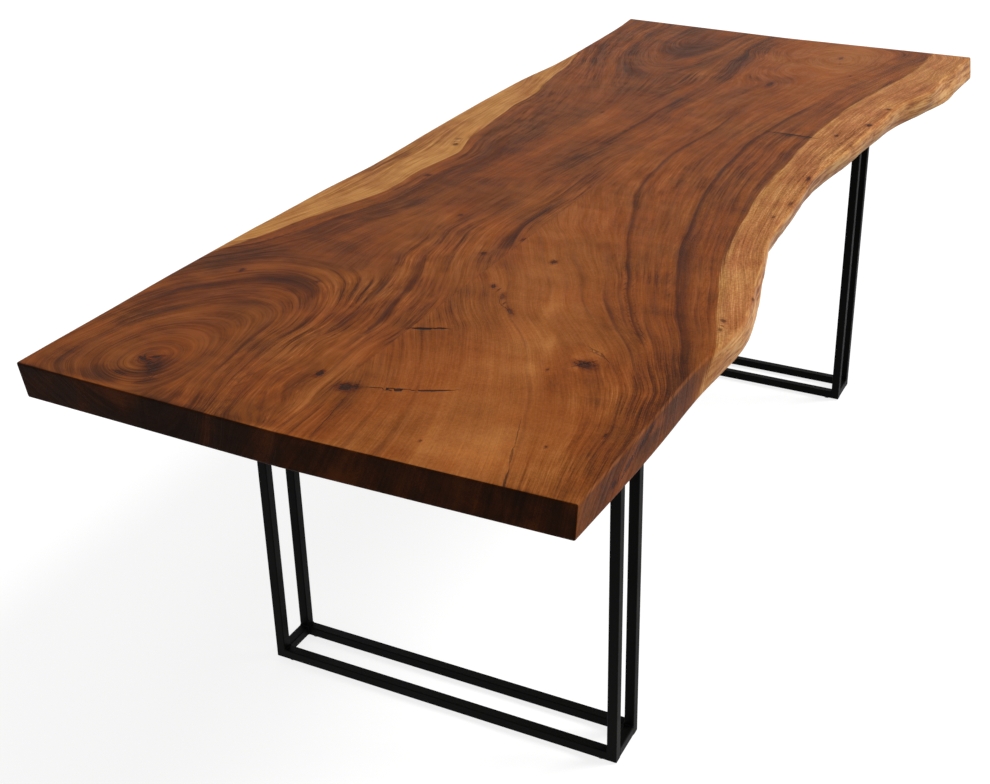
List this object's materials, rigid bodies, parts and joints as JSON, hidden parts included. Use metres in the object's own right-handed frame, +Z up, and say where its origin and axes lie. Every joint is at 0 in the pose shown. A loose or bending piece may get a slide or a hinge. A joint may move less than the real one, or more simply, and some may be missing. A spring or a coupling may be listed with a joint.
{
  "type": "live edge dining table",
  "caption": "Dining table with a thick live edge wood top, edge-glued from boards, on legs of paired black square-tube hoops.",
  "frame": {"origin": "on the floor under the middle of the top", "axes": "+X along the table from the near end to the far end, +Y towards the straighter live edge, +Z up"},
  "size_m": [2.316, 0.9416, 0.762],
  "materials": {
    "slab_wood": "satin oil over figured red-brown hardwood, paler sapwood along the live edges",
    "tenon_wood": "planed beech",
    "black_powder_coat": "matte black powder coat",
    "zinc_steel": "zinc plated",
    "insert_brass": "turned",
    "glide_nylon": "moulded nylon"
  },
  "bodies": {
    "root": {"far_inner_bottom_rail": "black_powder_coat", "far_inner_left_glide": "glide_nylon", "far_inner_left_upright": "black_powder_coat", "far_inner_right_glide": "glide_nylon", "far_inner_right_upright": "black_powder_coat", "far_inner_top_rail": "black_powder_coat", "far_left_foot_spacer": "black_powder_coat", "far_mounting_plate": "black_powder_coat", "far_outer_bottom_rail": "black_powder_coat", "far_outer_left_glide": "glide_nylon", "far_outer_left_upright": "black_powder_coat", "far_outer_right_glide": "glide_nylon", "far_outer_right_upright": "black_powder_coat", "far_outer_top_rail": "black_powder_coat", "far_right_foot_spacer": "black_powder_coat", "joint_tenons": "tenon_wood", "leg_screws": "zinc_steel", "leg_washers": "zinc_steel", "near_inner_bottom_rail": "black_powder_coat", "near_inner_left_glide": "glide_nylon", "near_inner_left_upright": "black_powder_coat", "near_inner_right_glide": "glide_nylon", "near_inner_right_upright": "black_powder_coat", "near_inner_top_rail": "black_powder_coat", "near_left_foot_spacer": "black_powder_coat", "near_mounting_plate": "black_powder_coat", "near_outer_bottom_rail": "black_powder_coat", "near_outer_left_glide": "glide_nylon", "near_outer_left_upright": "black_powder_coat", "near_outer_right_glide": "glide_nylon", "near_outer_right_upright": "black_powder_coat", "near_outer_top_rail": "black_powder_coat", "near_right_foot_spacer": "black_powder_coat", "slab_board_left": "slab_wood", "slab_board_right": "slab_wood", "threaded_inserts": "insert_brass"}
  },
  "joints": []
}
